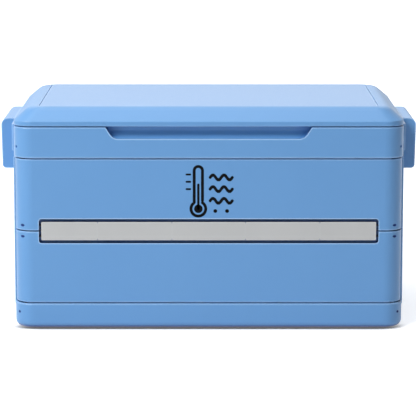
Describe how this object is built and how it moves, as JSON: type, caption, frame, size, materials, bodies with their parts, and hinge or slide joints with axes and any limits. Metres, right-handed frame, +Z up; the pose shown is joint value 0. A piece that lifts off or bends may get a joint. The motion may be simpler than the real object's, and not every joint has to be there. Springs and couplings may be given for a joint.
{
  "type": "folding insulated box",
  "caption": "Folding hard insulated box with a hinged lid, two swinging end walls, bi-fold front and back walls and a moulded grip at each end.",
  "frame": {"origin": "centre of the flat underside of the base", "axes": "+X along the long side to the right, +Y to the back, +Z up"},
  "size_m": [0.5768, 0.3475, 0.302],
  "materials": {
    "blue_plastic": "satin moulded, light blue",
    "top_panel_plastic": "satin moulded, light blue",
    "liner_plastic": "smooth moulded, pale grey",
    "foam_core": "closed-cell foam, off-white",
    "grey_plastic": "satin moulded, grey",
    "steel": "drawn wire, bright",
    "badge_ink": "pad-printed, satin black",
    "gasket": "soft, matt, dark grey"
  },
  "bodies": {
    "body": {"base_shell": "blue_plastic", "base_foam": "foam_core", "base_liner": "liner_plastic", "front_lower_shell": "blue_plastic", "front_lower_foam": "foam_core", "front_lower_liner": "liner_plastic", "front_upper_shell": "blue_plastic", "front_upper_foam": "foam_core", "front_upper_liner": "liner_plastic", "back_lower_shell": "blue_plastic", "back_lower_foam": "foam_core", "back_lower_liner": "liner_plastic", "back_upper_shell": "blue_plastic", "back_upper_foam": "foam_core", "back_upper_liner": "liner_plastic", "front_link_bar": "grey_plastic", "back_link_bar": "grey_plastic", "front_fold_pins": "steel", "back_fold_pins": "steel", "top_frame": "blue_plastic", "frame_foam": "foam_core", "left_handle": "blue_plastic", "right_handle": "blue_plastic", "handle_screws": "steel", "end_wall_rods": "steel", "lid_hinge_pins": "steel", "frame_hinge_leaves": "blue_plastic"},
    "lid": {"lid_hinge_leaves": "blue_plastic", "lid_shell": "blue_plastic", "lid_top_panel": "top_panel_plastic", "lid_foam": "foam_core", "lid_liner": "liner_plastic", "lid_gasket": "gasket"},
    "end_wall_left": {"left_end_shell": "blue_plastic", "left_end_foam": "foam_core", "left_end_liner": "liner_plastic"},
    "end_wall_right": {"right_end_shell": "blue_plastic", "right_end_foam": "foam_core", "right_end_liner": "liner_plastic"}
  },
  "joints": [
    {"name": "lid_hinge", "type": "hinge", "parent": "body", "child": "lid", "pos_m": [0, 0.174, 0.277], "axis": [-1, 0, 0], "range_deg": [0, 100]},
    {"name": "right_end_swing", "type": "hinge", "parent": "body", "child": "end_wall_right", "pos_m": [0.2575, 0, 0.262], "axis": [0, -1, 0], "range_deg": [-90, 0]},
    {"name": "left_end_swing", "type": "hinge", "parent": "body", "child": "end_wall_left", "pos_m": [-0.2575, 0, 0.262], "axis": [0, 1, 0], "range_deg": [-90, 0]}
  ]
}
